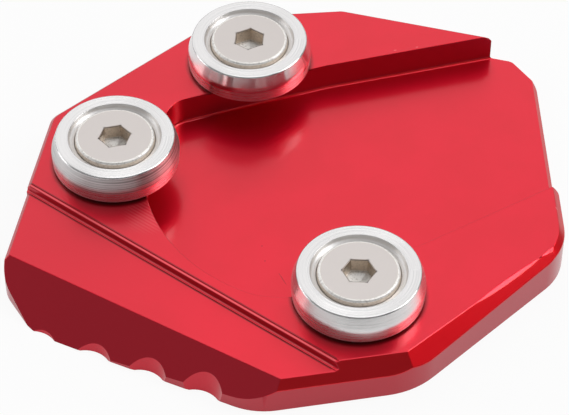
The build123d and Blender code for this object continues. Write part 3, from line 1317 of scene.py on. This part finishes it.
@dataclass(frozen=True)
class Softbox:
    """A rectangular studio lamp, in metres."""

    name: str
    place: Point
    aim: Point
    width: float
    height: float
    radiance: float

    def build(self) -> None:
        """Hang the lamp, out of the camera's sight."""
        light = bpy.data.lights.new(self.name, "AREA")
        light.shape = "RECTANGLE"
        light.size = self.width
        light.size_y = self.height
        light.energy = self.radiance * math.pi * self.width * self.height
        lamp = add_object(self.name, light)
        lamp.visible_camera = False
        lamp.matrix_world = aimed(Vector(self.place), Vector(self.aim))


@dataclass
class Studio:
    """Floor, soft lamps and the dim room around them, in metres."""

    floor_reach: Point = (0.60, 0.12, 1.0)
    floor_drop: float = 0.00002
    floor_segments: int = 96
    floor_colour: Colour = (0.88, 0.88, 0.88)
    floor_glow: float = 0.93
    floor_mirrored: float = 0.54
    room_left: Colour = (0.30, 0.30, 0.305)
    room_right: Colour = (0.03, 0.03, 0.03)
    room_front: Colour = (0.05, 0.05, 0.05)
    room_seen: Colour = (0.975, 0.975, 0.975)
    front_reach: Span = (-0.95, -0.75)
    softboxes: tuple[Softbox, ...] = (
        Softbox("key", (0.64, 0.03, 0.58), (0.0, 0.0, 0.0), 0.46, 0.50, 4.1),
        Softbox("backdrop", (0.0, 0.80, 0.62), (0.0, 0.0, 0.05), 2.2, 0.9, 0.78),
        Softbox("left", (-0.76, 0.18, 0.36), (0.0, 0.0, 0.0), 0.40, 0.30, 2.4),
        Softbox("overhead", (0.12, 0.16, 0.90), (0.0, 0.0, 0.0), 0.80, 0.46, 1.2),
        Softbox("front", (0.0, -0.98, 0.30), (0.0, 0.0, 0.0), 1.40, 0.26, 0.5),
    )

    def build(self) -> None:
        """Set up the floor, the lamps and the room."""
        self._floor()
        for softbox in self.softboxes:
            softbox.build()
        self._room()
        bpy.context.scene.view_settings.view_transform = "Standard"

    def _floor(self) -> None:
        """Lay an oval pale floor that shows white and keeps the object's shadow."""
        mesh = bpy.data.meshes.new("floor")
        shape = bmesh.new()
        bmesh.ops.create_circle(shape, cap_ends=True, segments=self.floor_segments, radius=1.0)
        bmesh.ops.scale(shape, vec=self.floor_reach, verts=shape.verts)
        shape.to_mesh(mesh)
        shape.free()
        floor = add_object("floor", mesh)
        floor.location.z = -self.floor_drop
        mesh.materials.append(self._floor_finish())

    def _floor_finish(self) -> Material:
        """Matt white, part of it glowing where it is seen or mirrored.

        Returns:
            The material.
        """
        shader = Shader("studio_floor")
        matt = shader.signal("ShaderNodeBsdfDiffuse", None, {"Color": (*self.floor_colour, 1.0)}, "BSDF")
        glow = shader.signal("ShaderNodeEmission", None, {"Color": (1.0, 1.0, 1.0, 1.0), "Strength": 1.0})
        path = shader.node("ShaderNodeLightPath")
        rays = ("Is Camera Ray", "Is Glossy Ray", "Is Transmission Ray")
        seen, glossy, through = (Signal(shader, path.outputs[ray]) for ray in rays)
        share = seen * self.floor_glow + glossy.of("MAXIMUM", through) * self.floor_mirrored
        surface = shader.signal("ShaderNodeMixShader", None, {0: share, 1: matt, 2: glow})
        shader.node("ShaderNodeOutputMaterial", None, {"Surface": surface})
        return shader.material

    def _room(self) -> None:
        """Set up the dim room, darker to the right and in front, and white to the camera."""
        world = bpy.data.worlds.new("room")
        world.use_nodes = True
        nodes = Nodes(world.node_tree)
        nodes.tree.nodes.clear()
        across, ahead, _ = nodes.axes(nodes.signal("ShaderNodeTexCoord", output="Generated"))
        seen = nodes.signal("ShaderNodeLightPath", output="Is Camera Ray")
        colour = nodes.mix(across * 0.5 + 0.5, self.room_left, self.room_right)
        colour = nodes.mix(ahead.ramp(*self.front_reach, 1.0, 0.0), colour, self.room_front)
        colour = nodes.mix(seen, colour, self.room_seen)
        room = nodes.signal("ShaderNodeBackground", None, {"Color": colour, "Strength": 1.0})
        nodes.node("ShaderNodeOutputWorld", None, {"Surface": room})
        bpy.context.scene.world = world


@dataclass
class PhotoCamera:
    """The photograph's viewpoint, in millimetres, degrees and pixels."""

    place: Point = (-8.62, -241.51, 250.85)
    target: Point = (0.28, 1.06, 0.0)
    roll: float = 0.145
    focal_pixels: float = 2366.7
    image_width: int = 569
    sensor_width: float = 36.0
    nearest: float = 10.0

    def build(self) -> None:
        """Set up the scene's camera."""
        lens = bpy.data.cameras.new("camera")
        lens.sensor_width = self.sensor_width
        lens.lens = self.focal_pixels * self.sensor_width / self.image_width
        lens.clip_start = self.nearest * MM
        camera = add_object("camera", lens)
        roll = Matrix.Rotation(math.radians(self.roll), 4, "Z")
        camera.matrix_world = aimed(Vector(self.place) * MM, Vector(self.target) * MM) @ roll
        bpy.context.scene.camera = camera


def main() -> None:
    """Build the part's pieces and the studio around them."""
    logging.basicConfig(level=logging.INFO, format="%(name)s: %(message)s")
    PhotoCamera().build()
    BasePlate().build()
    tree = TurningTree("turned_piece")
    ClampWashers().build(tree)
    ClampScrews().build(tree)
    Studio().build()


if __name__ == "__main__":
    main()
